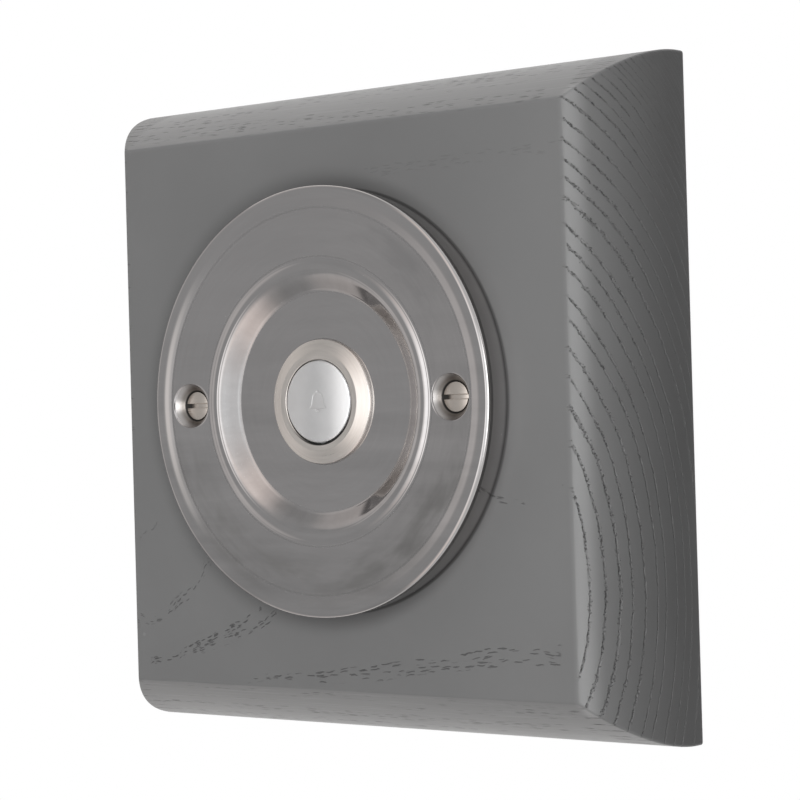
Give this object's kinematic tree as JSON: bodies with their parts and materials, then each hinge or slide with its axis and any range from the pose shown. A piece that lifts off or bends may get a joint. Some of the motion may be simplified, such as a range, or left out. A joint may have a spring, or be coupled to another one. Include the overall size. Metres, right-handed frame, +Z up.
{
  "type": "wireless doorbell push",
  "caption": "Wireless doorbell push: a round dished metal plate with a central button and two slotted screws, on a square moulded block of grey-painted oak.",
  "frame": {"origin": "centre of the block's flat back face, where it lies on the wall", "axes": "+Y into the wall, so the front with the button faces -Y; +X to the right seen from the front; +Z up"},
  "size_m": [0.15, 0.039, 0.15],
  "materials": {
    "painted_wood": "satin grey paint over open-grained oak",
    "plate_metal": "polished pewter-coloured nickel plate",
    "screw_metal": "nickel-plated steel",
    "bezel_metal": "satin nickel, fine turned",
    "button_metal": "matt stainless steel",
    "zinc_steel": "zinc-plated steel",
    "spring_steel": "bright spring steel",
    "contact_brass": "bright brass",
    "black_rubber": "matt black rubber",
    "white_plastic": "natural nylon",
    "black_plastic": "black moulded plastic",
    "board_green": "green solder mask",
    "lead_red": "red insulation",
    "lead_black": "black insulation",
    "cell_steel": "nickel-plated steel can",
    "can_aluminium": "plain aluminium can",
    "tinned_wire": "tinned copper wire"
  },
  "bodies": {
    "block": {"wood_block": "painted_wood", "push_plate": "plate_metal", "plate_screws": "screw_metal", "switch_barrel": "bezel_metal", "seal_ring": "black_rubber", "lock_washer": "zinc_steel", "switch_nut": "zinc_steel", "return_spring": "spring_steel", "switch_base": "black_plastic", "fixed_contact_left": "contact_brass", "fixed_contact_right": "contact_brass", "lead_wire_left": "lead_red", "lead_wire_right": "lead_black", "transmitter_board": "board_green", "board_spacers": "white_plastic", "board_screws": "zinc_steel", "battery_holder": "black_plastic", "battery_cell": "cell_steel", "battery_strap": "spring_steel", "radio_chip": "black_plastic", "encoder_chip": "black_plastic", "crystal_can": "can_aluminium", "capacitor": "can_aluminium", "aerial_loop": "tinned_wire"},
    "button": {"push_button": "button_metal", "plunger": "white_plastic", "contact_disc": "contact_brass", "retaining_clip": "spring_steel"}
  },
  "joints": [
    {"name": "button_press", "type": "slide", "parent": "block", "child": "button", "axis": [0, 1, 0], "range_m": [0, 0.0017], "stiffness_N_per_m": 500, "springref_m": -0.006, "deforming": ["return_spring"]}
  ]
}
